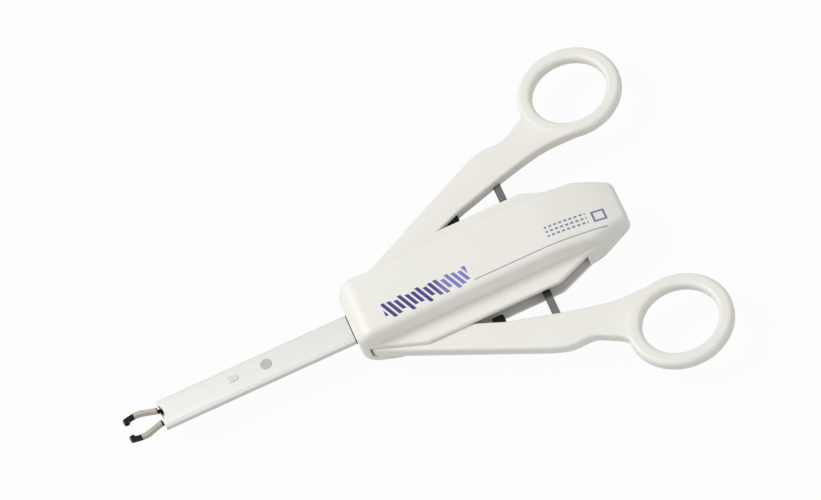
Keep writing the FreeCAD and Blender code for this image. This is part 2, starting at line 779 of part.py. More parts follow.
# Cam channel
def cam_channel():
    floor_top = -shaft_half_height + shaft_sheet + running_gap + channel_floor_thickness
    floor = floor_top - channel_floor_thickness
    outer = shaft_half_width - shaft_sheet - sliding_gap
    strip = box(channel_rear_x, cam_front_x, -outer, outer, floor, floor_top)
    walls, cams = [], []
    cam_rear = cam_front_x - cam_length
    for side in (1, -1):
        walls.append(box(channel_wall_rear_x, cam_front_x, side * outer, side * (outer - channel_wall),
                         floor, cam_top_z))
        plan = [(cam_front_x, cam_face_y + cam_lead), (cam_front_x - cam_lead, cam_face_y),
                (cam_rear + 2 * cam_lead, cam_face_y), (cam_rear, outer), (cam_front_x, outer)]
        cams.append(prism(polygon([(x, side * y) for x, y in plan]), floor, cam_top_z))
    channel = strip.fuse(walls + cams)
    channel = channel.cut(rod(channel_pin_radius, channel_pin_x, 0, floor, floor_top))
    save("cam_channel", channel.removeSplitter())
    lower_face = slide_plate_z + slide_plate_thickness
    save("channel_pin", rod(channel_pin_radius, channel_pin_x, 0, -lower_face, floor_top))


# Jaws
def jaw_ramp():
    """The outer edge on which the cam rides: it just clears the cam face at every position."""
    points = []
    contact_y = cam_face_y - sliding_gap
    for i in range(5):
        share = i / 4
        points.append(turned((cam_front_x + stroke * share, contact_y),
                             (jaw_hinge_x, jaw_hinge_y), jaw_angle * share))
    return points


def left_jaw():
    ramp = jaw_ramp()
    tip_out, tip_in = jaw_tip_y + jaw_tip_half_width, jaw_tip_y - jaw_tip_half_width
    nose = jaw_reach - jaw_tip_half_width
    bow = (ramp[-1][0] + jaw_bow_share * (nose - ramp[-1][0]), jaw_bow_y)
    heel_y = jaw_hinge_y - jaw_heel_radius
    heel_top, heel_low = (jaw_hinge_x, jaw_hinge_y + jaw_heel_radius), (jaw_hinge_x, heel_y)
    heel_end = (jaw_hinge_x + jaw_heel_length, heel_y)
    land = (ramp[0][0] - jaw_land_length, ramp[0][1])
    neck = (shaft_length, jaw_neck_y)
    inner_y = jaw_bow_y - jaw_arm_width
    tip_rear = jaw_reach - jaw_tip_length
    shoulder = (tip_rear, inner_y - jaw_tip_bulge)
    tip_foot = (tip_rear + jaw_tip_half_width / 2, tip_in)
    outer_bow = spline([ramp[-1], bow, (nose - 1.4 * jaw_tip_half_width, tip_out + jaw_tip_bulge),
                        (nose, tip_out)])
    inner_bow = spline(through(neck, [jaw_neck_shares], (bow[0] - 0.5, inner_y)) + [shoulder])
    plan = wire(Part.Arc(V(*heel_low, 0), V(jaw_hinge_x - jaw_heel_radius, jaw_hinge_y, 0), V(*heel_top, 0)),
                line(heel_top, land), line(land, ramp[0]), spline(ramp), outer_bow,
                Part.Arc(V(nose, tip_out, 0), V(jaw_reach, jaw_tip_y, 0), V(nose, tip_in, 0)),
                line((nose, tip_in), tip_foot), line(tip_foot, shoulder), inner_bow,
                line(neck, heel_end), line(heel_end, heel_low))
    low, high = -jaw_half_thickness, jaw_half_thickness
    plate = prism(plan, low, low + jaw_plate_thickness)
    arm = prism(plan, low, high).common(
        box(jaw_thick_from_x, jaw_reach + 1, 0, 2 * jaw_bow_y, low, high))
    groove = box(tip_rear, jaw_reach - jaw_groove_end, 0, tip_in + jaw_groove_depth,
                 -jaw_groove_width / 2, jaw_groove_width / 2)
    pin_bore = rod(jaw_pin_radius + running_gap, jaw_hinge_x, jaw_hinge_y, 2 * low, 2 * high)
    return plate.fuse(arm).removeSplitter().cut([groove, pin_bore])


def jaws():
    jaw = left_jaw()
    save("left_jaw", jaw)
    save("right_jaw", mirrored(jaw))
    low = -jaw_half_thickness
    top = low + jaw_plate_thickness
    edge_y = jaw_hinge_y + jaw_heel_radius + sliding_gap
    base = box(jaw_hinge_x - jaw_base_length, jaw_hinge_x - sliding_gap, -edge_y, edge_y, low, top)
    seats = [rod(jaw_heel_radius + sliding_gap, jaw_hinge_x, side * jaw_hinge_y, low, top)
             for side in (1, -1)]
    places = [(jaw_base_rivet_x, jaw_base_rivet_y), (jaw_base_rivet_x, -jaw_base_rivet_y)]
    holes = [rod(jaw_pin_radius, x, y, low, top) for x, y in places]
    save("jaw_base", base.cut(seats + holes))
    places += [(jaw_hinge_x, jaw_hinge_y), (jaw_hinge_x, -jaw_hinge_y)]
    pin_top = track_floor_z + track_sheet
    save("jaw_pins", *[rod(jaw_pin_radius, x, y, low, pin_top) for x, y in places])
    return places


# Clip track, clips, follower and its spring
def clip_outline():
    """One open clip: two legs and slanted shoulders that meet in a short flat apex."""
    out, inside = clip_half_width, clip_half_width - clip_wire
    slant = (out - clip_apex_half_width) / (clip_length - clip_leg)
    inner_leg = clip_leg - clip_wire * (math.hypot(1, slant) - 1) / slant
    inner_apex = clip_apex_half_width - clip_wire * (math.hypot(1, slant) - slant)
    outer = [(0, out), (-clip_leg, out), (-clip_length, clip_apex_half_width)]
    inner = [(clip_wire - clip_length, inner_apex), (-inner_leg, inside), (0, inside)]
    half = outer + [(x, -y) for x, y in reversed(outer)]
    return polygon(half + [(x, -y) for x, y in reversed(inner)] + inner)


def clip_feed(pin_places):
    floor_top = track_floor_z + track_sheet
    rail_outer = track_rail_inner_y + track_rail_wall
    leg_low = -shaft_half_height + shaft_sheet + channel_floor_thickness + 2 * running_gap
    floor = box(track_rear_x, track_leg_front_x, -track_half_width, track_half_width,
                track_floor_z, floor_top)
    floor = floor.fuse(box(track_leg_front_x, track_front_x, -rail_outer, rail_outer,
                           track_floor_z, floor_top))
    parts = []
    for side in (1, -1):
        parts.append(box(track_rear_x, track_front_x, side * track_rail_inner_y, side * rail_outer,
                         track_floor_z, track_rail_top_z))
        parts.append(box(track_rear_x, track_leg_front_x, side * (track_half_width - track_sheet),
                         side * track_half_width, leg_low, floor_top))
    seat = box(track_rear_x, track_rear_x + spring_seat_length, -track_rail_inner_y, track_rail_inner_y,
               track_floor_z, spring_seat_top_z)
    tail = box(track_rear_x, track_pin_x - track_pin_radius - track_end_margin,
               -track_rail_inner_y, track_rail_inner_y, track_floor_z, floor_top)
    shaft_floor = -shaft_half_height
    holes = [rod(jaw_pin_radius, x, y, shaft_floor, floor_top) for x, y in pin_places]
    pin = rod(track_pin_radius, track_pin_x, 0, shaft_floor, floor_top)
    track = floor.fuse(parts + [seat, tail]).cut(holes + [pin])
    save("clip_track", track.removeSplitter())
    save("track_pin", pin)

    clip_z = floor_top + running_gap
    clip = prism(clip_outline(), clip_z, clip_z + clip_wire)
    clips = []
    for i in range(clip_count):
        clips.append(clip.copy())
        clips[-1].translate(V(first_clip_x - i * clip_pitch, 0, 0))
    save("clip_stack", *clips)

    front = first_clip_x - (clip_count - 1) * clip_pitch - clip_length - running_gap
    seat_front = follower_rear_x + follower_seat_length
    follower = box(front, follower_rear_x, -follower_half_width, follower_half_width,
                   clip_z, clip_z + clip_wire)
    follower = follower.fuse(box(follower_rear_x, seat_front, -follower_half_width, follower_half_width,
                                 clip_z, spring_seat_top_z))
    save("clip_follower", follower.removeSplitter())
    spring = coil(follower_spring_radius, follower_spring_wire, follower_spring_turns,
                  track_rear_x + spring_seat_length + running_gap, follower_rear_x - running_gap)
    spring.translate(V(0, 0, clip_z + follower_spring_radius + follower_spring_wire / 2))
    save("follower_spring", spring)


# Feed bar with its shoe, post and rack
def feed_bar():
    z0, z1 = feed_bar_z, feed_bar_z + feed_bar_thickness
    post_rear = feed_post_x - feed_post_length
    bar = box(post_rear, feed_bar_front_x, -feed_bar_half_width, feed_bar_half_width, z0, z1)
    shoe = box(feed_bar_front_x - feed_shoe_length, feed_bar_front_x, -feed_shoe_half_width,
               feed_shoe_half_width, z0, z1)
    front_edge = [edge for edge in shoe.Edges if abs(edge.BoundBox.XMin - feed_bar_front_x) < 0.01
                  and edge.BoundBox.YLength > 1 and edge.BoundBox.ZMin > z0 + 0.1]
    shoe = shoe.makeChamfer(feed_shoe_chamfer, front_edge)
    gear_top = gear_z + gear_thickness
    post = box(post_rear, feed_post_x, -feed_bar_half_width, feed_bar_half_width, z0, gear_top)
    top = box(post_rear, feed_post_x, -rack_outer_y, feed_bar_half_width, gear_z, gear_top)
    rack = rack_teeth(pinion_x - rack_run_out, pinion_x + stroke + rack_run_out, -1)
    root_y = rack_outer_y - rack_thickness
    beam = box(pinion_x + stroke, post_rear, -root_y, -rack_outer_y, gear_z, gear_top)
    save("feed_bar", bar.fuse([shoe, post, top, rack, beam]).removeSplitter())


os.makedirs("parts", exist_ok=True)
housing_shells()
handles()
drive_slide()
feed_pinion()
return_drive()
shaft()
cam_channel()
clip_feed(jaws())
feed_bar()
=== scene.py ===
import math

import bmesh
import bpy
from mathutils import Matrix, Vector


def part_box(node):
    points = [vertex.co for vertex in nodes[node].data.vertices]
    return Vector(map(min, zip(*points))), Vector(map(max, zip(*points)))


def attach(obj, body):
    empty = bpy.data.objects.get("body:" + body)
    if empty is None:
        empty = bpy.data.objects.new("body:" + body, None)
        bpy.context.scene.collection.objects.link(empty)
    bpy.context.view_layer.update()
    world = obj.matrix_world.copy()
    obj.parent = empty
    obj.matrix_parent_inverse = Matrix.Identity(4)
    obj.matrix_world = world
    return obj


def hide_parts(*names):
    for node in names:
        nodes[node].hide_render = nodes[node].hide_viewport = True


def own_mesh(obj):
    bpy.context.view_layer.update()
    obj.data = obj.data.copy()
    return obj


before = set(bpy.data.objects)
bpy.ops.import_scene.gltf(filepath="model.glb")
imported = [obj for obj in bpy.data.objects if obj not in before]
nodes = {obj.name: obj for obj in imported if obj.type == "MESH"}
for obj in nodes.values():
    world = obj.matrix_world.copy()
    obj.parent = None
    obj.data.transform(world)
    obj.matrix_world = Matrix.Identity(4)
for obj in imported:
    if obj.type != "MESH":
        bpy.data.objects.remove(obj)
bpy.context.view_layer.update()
scene = bpy.context.scene
scene.view_settings.view_transform = "Standard"
mm = 0.001
print("frame loaded:", len(nodes), "nodes")


class Signal:                                          # a node socket that takes part in sums
    def __init__(self, tree, socket):
        self.tree, self.socket = tree, socket

    def math(self, operation, *values, clamp=False):
        settings = dict(operation=operation, use_clamp=clamp)
        return self.tree.node("ShaderNodeMath", settings, dict(enumerate(values)))

    def __add__(self, other): return self.math("ADD", self, other)
    def __sub__(self, other): return self.math("SUBTRACT", self, other)
    def __rsub__(self, other): return self.math("SUBTRACT", other, self)
    def __mul__(self, other): return self.math("MULTIPLY", self, other)
    def __truediv__(self, other): return self.math("DIVIDE", self, other)
    def __gt__(self, other): return self.math("GREATER_THAN", self, other)
    def __abs__(self): return self.math("ABSOLUTE", self)
    __radd__, __rmul__ = __add__, __mul__

    def rises(self, edge, soft):                       # 0 below the edge, 1 above it
        return self.math("MULTIPLY_ADD", self, 1 / soft, 0.5 - edge / soft, clamp=True)

    def between(self, low, high, soft):
        return self.rises(low, soft) * (1 - self.rises(high, soft))

    def fraction(self): return self.math("FRACT", self)
    def floor(self): return self.math("FLOOR", self)
    def sine(self): return self.math("SINE", self)
    def largest(self, other): return self.math("MAXIMUM", self, other)


class Tree:                                            # adds nodes to a material, world or geometry tree
    def __init__(self, nodeTree):
        self.nodeTree = nodeTree

    def node(self, kind, settings=None, inputs=None, output=0):
        made = self.nodeTree.nodes.new(kind)
        for name, value in (settings or {}).items():
            setattr(made, name, value)
        for key, value in (inputs or {}).items():
            if isinstance(value, Signal):
                self.nodeTree.links.new(value.socket, made.inputs[key])
            else:
                made.inputs[key].default_value = value
        return Signal(self, made.outputs[output]) if len(made.outputs) else made

    def blend(self, factor, low, high):                # mixes two colours
        low, high = [(*c, 1) if isinstance(c, tuple) else c for c in (low, high)]
        return self.node("ShaderNodeMix", dict(data_type="RGBA"), {0: factor, 6: low, 7: high}, 2)

    def where(self):                                   # x, y and z on the object, in millimetres
        spot = self.node("ShaderNodeTexCoord", output="Object")
        axes = self.nodeTree.nodes.new("ShaderNodeSeparateXYZ")
        self.nodeTree.links.new(spot.socket, axes.inputs[0])
        return [Signal(self, axes.outputs[i]) * 1000 for i in range(3)]

    def noise(self, size, detail=2.0, stretch=(1, 1, 1), shift=0.0):   # size in millimetres
        spot = self.node("ShaderNodeTexCoord", output="Object")
        scale = tuple(1000 / size / s for s in stretch)
        mapped = self.node("ShaderNodeMapping", None,
                           {"Vector": spot, "Location": (shift, shift, shift), "Scale": scale})
        return self.node("ShaderNodeTexNoise", None, {"Vector": mapped, "Scale": 1.0, "Detail": detail})

    def bump(self, height, depth):                     # depth in millimetres
        return self.node("ShaderNodeBump", None, {"Height": height, "Distance": depth * mm, "Strength": 1.0})


def newMaterial(name):
    material = bpy.data.materials.new(name)
    material.use_nodes = True
    material.node_tree.nodes.clear()
    return material, Tree(material.node_tree)


def finish(tree, **inputs):                            # closes a material on one Principled shader
    named = {key.replace("_", " "): value for key, value in inputs.items()}
    shader = tree.node("ShaderNodeBsdfPrincipled", None, named)
    tree.node("ShaderNodeOutputMaterial", None, {"Surface": shader})


view = dict(aim=(10.1, -23.9, 11.8), away=2400.0, elevation=53.13, roll=24.5, across=325.4,
            sensor=36, farEnd=20)


def placeCamera(s):
    lift, turn = math.radians(s["elevation"]), math.radians(s["roll"])
    back = Vector((0, math.cos(lift), math.sin(lift)))
    level, upright = Vector((-1, 0, 0)), Vector((0, -math.sin(lift), math.cos(lift)))
    right = level * math.cos(turn) - upright * math.sin(turn)
    up = level * math.sin(turn) + upright * math.cos(turn)
    camera = bpy.data.objects.new("camera", bpy.data.cameras.new("camera"))
    camera.data.sensor_width = s["sensor"]
    camera.data.lens = s["sensor"] * s["away"] / s["across"]
    camera.data.clip_end = s["farEnd"]
    turned = Matrix((right, up, back)).transposed().to_4x4()
    camera.matrix_world = Matrix.Translation((Vector(s["aim"]) + back * s["away"]) * mm) @ turned
    scene.collection.objects.link(camera)
    scene.camera = camera


placeCamera(view)
print("camera placed")


studio = dict(ambient=0.45, keyAt=(1.1, -0.6, 1.4), keySize=1.1, keyPower=21.5,
              fillAt=(-0.6, 1.1, 0.9), fillSize=1.2, fillPower=4.2,
              floorSize=3.0, floorDrop=0.2, floorColour=(0.62, 0.62, 0.61), floorGlow=0.955)


def addLamp(name, at, size, power):
    lamp = bpy.data.lights.new(name, "AREA")
    lamp.size, lamp.energy = size, power
    lampObject = bpy.data.objects.new(name, lamp)
    lampObject.location = at
    lampObject.rotation_euler = (Vector((0, 0, 0)) - Vector(at)).to_track_quat("-Z", "Y").to_euler()
    scene.collection.objects.link(lampObject)


def seenRay(tree):                                     # 1 where the camera, a gloss or a clear piece looks
    rays = [tree.node("ShaderNodeLightPath", output=name)
            for name in ("Is Camera Ray", "Is Glossy Ray", "Is Transmission Ray")]
    return rays[0].largest(rays[1]).largest(rays[2])


def lightScene(s):
    world = bpy.data.worlds.new("studio")
    world.use_nodes = True
    world.node_tree.nodes.clear()
    scene.world = world
    tree = Tree(world.node_tree)
    strength = seenRay(tree) * (1 - s["ambient"]) + s["ambient"]
    sky = tree.node("ShaderNodeBackground", None, {"Color": (1, 1, 1, 1), "Strength": strength})
    tree.node("ShaderNodeOutputWorld", None, {"Surface": sky})
    addLamp("key", s["keyAt"], s["keySize"], s["keyPower"])
    addLamp("fill", s["fillAt"], s["fillSize"], s["fillPower"])

    half = s["floorSize"] / 2
    mesh = bpy.data.meshes.new("floor")
    level = -s["floorDrop"] * mm
    corners = [(-half, -half, level), (half, -half, level), (half, half, level), (-half, half, level)]
    mesh.from_pydata(corners, [], [(0, 1, 2, 3)])
    floor = bpy.data.objects.new("floor", mesh)
    scene.collection.objects.link(floor)
    material, tree = newMaterial("floorCard")
    matt = tree.node("ShaderNodeBsdfDiffuse", None, {"Color": (*s["floorColour"], 1)})
    glow = tree.node("ShaderNodeEmission", None, {"Color": (1, 1, 1, 1), "Strength": 1.0})
    seen = tree.node("ShaderNodeMixShader", None, {0: s["floorGlow"], 1: matt, 2: glow})
    card = tree.node("ShaderNodeMixShader", None, {0: seenRay(tree), 1: matt, 2: seen})
    tree.node("ShaderNodeOutputMaterial", None, {"Surface": card})
    mesh.materials.append(material)


lightScene(studio)
print("light and floor set")


moulding = dict(colour=(0.86, 0.85, 0.80), warm=(0.84, 0.81, 0.74), grain=0.35, grainDepth=0.010,
                roughness=0.42, partingLevel=12.2, partingHalf=0.07)
mouldedLook = dict(cloudSize=38, cloudEdge=(0.5, 0.7), warmShare=0.5, grainHeight=0.5, glossSwing=0.06,
                   partingTone=(0.42, 0.40, 0.36), partingShare=0.30, partingSoft=0.05, partingGroove=3.0,
                   ior=1.50)
printed = dict(seed=2.0, violet=(0.042, 0.032, 0.21), pale=(0.20, 0.19, 0.52), slate=(0.20, 0.21, 0.36),
               topLevel=17.0, topSoft=0.1, soft=0.12, frontX=(-6.6, 29.7), frontY=(4.2, 11.4),
               barPitch=2.5, barSlant=0.42, barGap=0.02, barShare=0.66, barSoft=0.04,
               reachTurn=2.3, reachSpan=1.3, lowReach=0.6, paleFromX=6.0, paleSoft=4.0,
               rearX=(-58.0, -41.0), rearY=(2.4, 8.8), dashPitch=2.1, dashGap=0.02, dashShare=0.6,
               dashSoft=0.05, rowPitch=2.2, rowGap=0.1, rowShare=0.42, rowSoft=0.06,
               stampX=(-65.5, -60.0), stampY=(3.0, 8.4), stampWall=0.9,
               lineX=(-64.0, -8.0), lineY=(11.4, 12.0), lineColour=(0.27, 0.26, 0.34), lineShare=0.8)


def plasticBase(tree, s, seed):                        # colour, height and roughness of moulded plastic
    look = mouldedLook
    z = tree.where()[2]
    broad = tree.noise(look["cloudSize"], 2, shift=seed).rises(*look["cloudEdge"])
    fine = tree.noise(s["grain"], 2, shift=seed)
    parting = 1 - abs(z - s["partingLevel"]).rises(s["partingHalf"], look["partingSoft"])
    colour = tree.blend(broad * look["warmShare"], s["colour"], s["warm"])
    colour = tree.blend(parting * look["partingShare"], colour, look["partingTone"])
    height = fine * look["grainHeight"] - parting * look["partingGroove"]
    swing = look["glossSwing"]
    roughness = broad * swing + fine * swing + (s["roughness"] - swing)
    return colour, height, roughness


def finishPlastic(tree, s, colour, height, roughness):
    finish(tree, Base_Color=colour, Roughness=roughness, IOR=mouldedLook["ior"],
           Normal=tree.bump(height, s["grainDepth"]))


def plasticMaterial(name, s, seed):
    material, tree = newMaterial(name)
    finishPlastic(tree, s, *plasticBase(tree, s, seed))
    return material


def printedShell(name, s, p):                          # plain bars and dashes stand for the print
    material, tree = newMaterial(name)
    colour, height, roughness = plasticBase(tree, s, p["seed"])
    x, y, z = tree.where()
    soft = p["soft"]
    onTop = z.rises(p["topLevel"], p["topSoft"])

    count = (x + y * p["barSlant"]) / p["barPitch"]
    reach = (count.floor() * p["reachTurn"]).sine() * p["reachSpan"]   # sets the bars' ends unevenly
    bars = count.fraction().between(p["barGap"], p["barShare"], p["barSoft"]) * x.between(*p["frontX"], soft)
    lowEnd = (y + reach * p["lowReach"]).rises(p["frontY"][0], soft)
    highEnd = (y - reach).rises(p["frontY"][1], soft)
    bars = bars * lowEnd * (1 - highEnd) * onTop
    ink = tree.blend(x.rises(p["paleFromX"], p["paleSoft"]), p["pale"], p["violet"])
    colour = tree.blend(bars, colour, ink)

    dashes = (x / p["dashPitch"]).fraction().between(p["dashGap"], p["dashShare"], p["dashSoft"])
    rows = (y / p["rowPitch"]).fraction().between(p["rowGap"], p["rowGap"] + p["rowShare"], p["rowSoft"])
    dashes = dashes * x.between(*p["rearX"], soft) * (rows * y.between(*p["rearY"], soft))
    wall = p["stampWall"]
    innerX, innerY = [(low + wall, high - wall) for low, high in (p["stampX"], p["stampY"])]
    stamp = x.between(*p["stampX"], soft) * y.between(*p["stampY"], soft)
    stamp = stamp * (1 - x.between(*innerX, soft) * y.between(*innerY, soft))
    colour = tree.blend((dashes + stamp) * onTop, colour, p["slate"])

    line = x.between(*p["lineX"], soft) * y.between(*p["lineY"], soft) * onTop
    colour = tree.blend(line * p["lineShare"], colour, p["lineColour"])
    finishPlastic(tree, s, colour, height, roughness)
    return material


shaftSteel = dict(colour=(0.63, 0.637, 0.607), shade=(0.56, 0.57, 0.54), roughness=0.42, streak=0.5, run=60,
                  # painted shade: the edge colour darkens the sides; painted highlight: the brighter colour
                  # above the seam
                  edge=(0.52, 0.535, 0.51), edgeFromY=6.07, edgeSoft=0.06, edgeDull=0.15,
                  foldHighlight=(0.86, 0.875, 0.85), seamLevel=12.4, seamSoft=1.5,
                  # painted shade: the near-black band where the shaft enters the nose
                  rim=(0.06, 0.06, 0.055), rimX=(43.2, 44.5), rimSoft=0.25, rimDull=0.6)
innerSteel = dict(colour=(0.46, 0.46, 0.44), shade=(0.34, 0.34, 0.33), roughness=0.40, streak=0.5, run=30,
                  # painted shade: the near-black colour inside the shaft's mouth
                  mouthShade=(0.030, 0.029, 0.028), mouthFromX=119.5, mouthSoft=1.2, mouthDull=0.8)
armSteel = dict(colour=(0.19, 0.19, 0.185), shade=(0.12, 0.12, 0.12), roughness=0.48, streak=0.4, run=1,
                # painted shade: the near-black colour on the arm's end under the wing
                underWingShade=(0.018, 0.018, 0.018), underWingShadeToY=27.0, underWingShadeSoft=2.0, underWingShadeDull=0.4)
# painted shade: the stop tab is coloured near black for the shade in the gap around it
tabPaintedShade = dict(colour=(0.016, 0.016, 0.016), shade=(0.010, 0.010, 0.010), roughness=0.55, streak=0.4, run=1)
rivetSteel = dict(colour=(0.41, 0.415, 0.40), shade=(0.34, 0.345, 0.335), roughness=0.46, streak=0.4, run=1)
paleSteel = dict(colour=(0.55, 0.56, 0.54), shade=(0.48, 0.49, 0.47), roughness=0.44, streak=0.4, run=1)
pinSteel = dict(colour=(0.50, 0.50, 0.49), shade=(0.38, 0.38, 0.38), roughness=0.28, streak=0.3, run=1)
springSteel = dict(colour=(0.42, 0.42, 0.42), shade=(0.30, 0.30, 0.31), roughness=0.32, streak=0.3, run=4)
clipMetal = dict(colour=(0.62, 0.62, 0.62), shade=(0.50, 0.50, 0.51), roughness=0.30, streak=0.2, run=4)
jawSteel = dict(colour=(0.40, 0.365, 0.325), shade=(0.31, 0.285, 0.25), roughness=0.40, streak=0.3, run=4,
                # painted shade: the near-black colour also darkens the jaws' roots at the shaft's mouth; the
                # tips are black
                blackTipsAndRootShade=(0.014, 0.014, 0.014), tipFromX=136.6, tipSoft=0.3, rootShadeX=(122.4, 127.4), rootShadeSoft=0.4,
                wornFromX=140.9, wornSoft=0.5, wornShare=0.35)
brushed = dict(streakDetail=3, streakEdge=(0.5, 0.8), streakShare=0.55, streakGloss=0.14,
               cloudSize=9, cloudEdge=(0.5, 0.6), cloudShare=0.35, cloudGloss=0.08,
               glossDrop=0.10, dullGloss=0.15, scratchDepth=0.006)


def metalMaterial(name, s, marks=None):                # marks gives (mask, colour, how dull) for each mark
    material, tree = newMaterial(name)
    b = brushed
    streaks = tree.noise(s["streak"], b["streakDetail"], (s["run"], 1, 1))
    cloud = tree.noise(b["cloudSize"], 2)
    shaded = streaks.rises(*b["streakEdge"]) * b["streakShare"]
    shaded = shaded + cloud.rises(*b["cloudEdge"]) * b["cloudShare"]
    colour = tree.blend(shaded, s["colour"], s["shade"])
    roughness = streaks * b["streakGloss"] + cloud * b["cloudGloss"] + (s["roughness"] - b["glossDrop"])
    metallic = 1.0
    for mask, tone, dull in (marks(tree) if marks else []):
        colour = tree.blend(mask, colour, tone)
        roughness = roughness + mask * (b["dullGloss"] * dull)
        metallic = metallic * (1 - mask * dull)
    finish(tree, Base_Color=colour, Metallic=metallic, Roughness=roughness,
           Normal=tree.bump(streaks, b["scratchDepth"]))
    return material


def jawMarks(tree):                                    # black tips, worn at the end, and roots darkened with painted shade
    s, x = jawSteel, tree.where()[0]
    worn = x.rises(s["wornFromX"], s["wornSoft"]) * s["wornShare"]
    tips = x.rises(s["tipFromX"], s["tipSoft"]) * (1 - worn)
    return [(tips.largest(x.between(*s["rootShadeX"], s["rootShadeSoft"])), s["blackTipsAndRootShade"], 0.0)]


def shaftMarks(tree):                                  # painted shade darkens the sides, a painted highlight brightens their upper half, and painted shade darkens the band where the shaft enters the nose
    s = shaftSteel
    x, y, z = tree.where()
    side = abs(y).rises(s["edgeFromY"], s["edgeSoft"])
    return [(side, s["edge"], s["edgeDull"]),
            (side * z.rises(s["seamLevel"], s["seamSoft"]), s["foldHighlight"], 0.0),
            (x.between(*s["rimX"], s["rimSoft"]), s["rim"], s["rimDull"])]


def armMarks(tree):                                    # painted shade: the end that slides under the wing is darkened for the shade under it
    s, y = armSteel, tree.where()[1]
    return [(1 - abs(y).rises(s["underWingShadeToY"], s["underWingShadeSoft"]), s["underWingShade"], s["underWingShadeDull"])]


def mouthShadeMarks(tree):                                  # painted shade: what lies in the shaft's mouth is darkened for the shade inside it
    s, x = innerSteel, tree.where()[0]
    return [(x.rises(s["mouthFromX"], s["mouthSoft"]), s["mouthShade"], s["mouthDull"])]


slidePlastic = dict(colour=(0.50, 0.53, 0.55), warm=(0.45, 0.47, 0.49), grain=0.3, grainDepth=0.008,
                    roughness=0.45, partingLevel=-50.0, partingHalf=0.05)

finishes = dict(
    shellUpper=printedShell("shellUpper", moulding, printed),
    shellLower=plasticMaterial("shellLower", moulding, 5.0),
    handle=plasticMaterial("handle", moulding, 9.0),
    slide=plasticMaterial("slide", slidePlastic, 3.0),
    shaft=metalMaterial("shaft", shaftSteel, shaftMarks),
    inner=metalMaterial("inner", innerSteel, mouthShadeMarks),
    arm=metalMaterial("arm", armSteel, armMarks),
    tab=metalMaterial("tab", tabPaintedShade),
    rivet=metalMaterial("rivet", rivetSteel),
    paleRivet=metalMaterial("paleRivet", paleSteel),
    pin=metalMaterial("pin", pinSteel),
    spring=metalMaterial("spring", springSteel),
    clip=metalMaterial("clip", clipMetal),
    jaw=metalMaterial("jaw", jawSteel, jawMarks),
)
print("materials made:", len(finishes))


finishOf = dict(upper_housing="shellUpper", lower_housing="shellLower", drive_slide="slide",
                feed_pinion="slide", clip_follower="slide", shaft_channel="shaft", shaft_cover="shaft",
                cam_channel="inner", jaw_base="inner", clip_track="inner", feed_bar="inner",
                return_spring="spring", follower_spring="spring", clip_stack="clip")
partFinishes = dict(handle="handle", drive_arm="arm", stop_tab="tab", jaw="jaw",
                    arm_rivets="pin", cam_pin="pin", pivot_pin="pin")
for side in ("left", "right"):
    finishOf.update({side + "_" + part: name for part, name in partFinishes.items()})
shading = dict(mergeDistance=0.00001, sharpAngle=0.52)


def newGroup(name, inputs):                            # a geometry tree, and its inputs by name
    group = bpy.data.node_groups.new(name, "GeometryNodeTree")
    for label, kind in [("Geometry", "Geometry")] + inputs:
        group.interface.new_socket(label, in_out="INPUT", socket_type="NodeSocket" + kind)
    group.interface.new_socket("Geometry", in_out="OUTPUT", socket_type="NodeSocketGeometry")
    tree = Tree(group)
    source = group.nodes.new("NodeGroupInput")
    return group, tree, {socket.name: Signal(tree, socket) for socket in source.outputs if socket.name}


def closeGroup(tree, shape, given):                    # sends out one smooth mesh with its finish
    real = tree.node("GeometryNodeRealizeInstances", None, {0: shape})
    smooth = tree.node("GeometryNodeSetShadeSmooth", dict(domain="FACE"), {0: real, "Shade Smooth": True})
    dressed = tree.node("GeometryNodeSetMaterial", None, {"Geometry": smooth, "Material": given["Finish"]})
    tree.node("NodeGroupOutput", None, {0: dressed})


def shadingTree():                                     # smooth faces, with the sharp edges kept
    group, tree, given = newGroup("smoothShading", [("Merge distance", "Float"), ("Sharp angle", "Float")])
    merged = tree.node("GeometryNodeMergeByDistance", None,
                       {"Geometry": given["Geometry"], "Distance": given["Merge distance"]})
    smooth = tree.node("GeometryNodeSetShadeSmooth", dict(domain="FACE"), {0: merged, "Shade Smooth": True})
    bend = tree.node("GeometryNodeInputMeshEdgeAngle")
    sharp = tree.node("GeometryNodeSetShadeSmooth", dict(domain="EDGE"),
                      {0: smooth, "Selection": bend > given["Sharp angle"], "Shade Smooth": False})
    tree.node("NodeGroupOutput", None, {0: sharp})
    return group


def inputIdentifier(group, name):
    return next(item.identifier for item in group.interface.items_tree
                if item.in_out == "INPUT" and item.name == name)


smoothing = shadingTree()
for name, node in nodes.items():
    material = finishes[finishOf.get(name, "pin")]
    if not node.material_slots:
        node.data.materials.append(None)
    for slotOfNode in node.material_slots:
        slotOfNode.material = material
    modifier = node.modifiers.new("smoothShading", "NODES")
    modifier.node_group = smoothing
    modifier[inputIdentifier(smoothing, "Merge distance")] = shading["mergeDistance"]
    modifier[inputIdentifier(smoothing, "Sharp angle")] = shading["sharpAngle"]
print("CAD nodes finished")


clipRow = dict(count=20, pitch=5.0, frontX=118.6, level=12.6, wire=0.56,
               corner=0.08, cornerSteps=2, bend=0.45, bendSteps=4,
               line=((0.0, 2.5), (-2.3, 2.5), (-3.9, 0.75), (-3.9, -0.75), (-2.3, -2.5), (0.0, -2.5)))
weldRow = dict(count=6, pitch=12.5, firstX=54.0, level=11.4, sideY=6.15, radius=0.55, flatness=0.10,
               segments=20, rings=10)


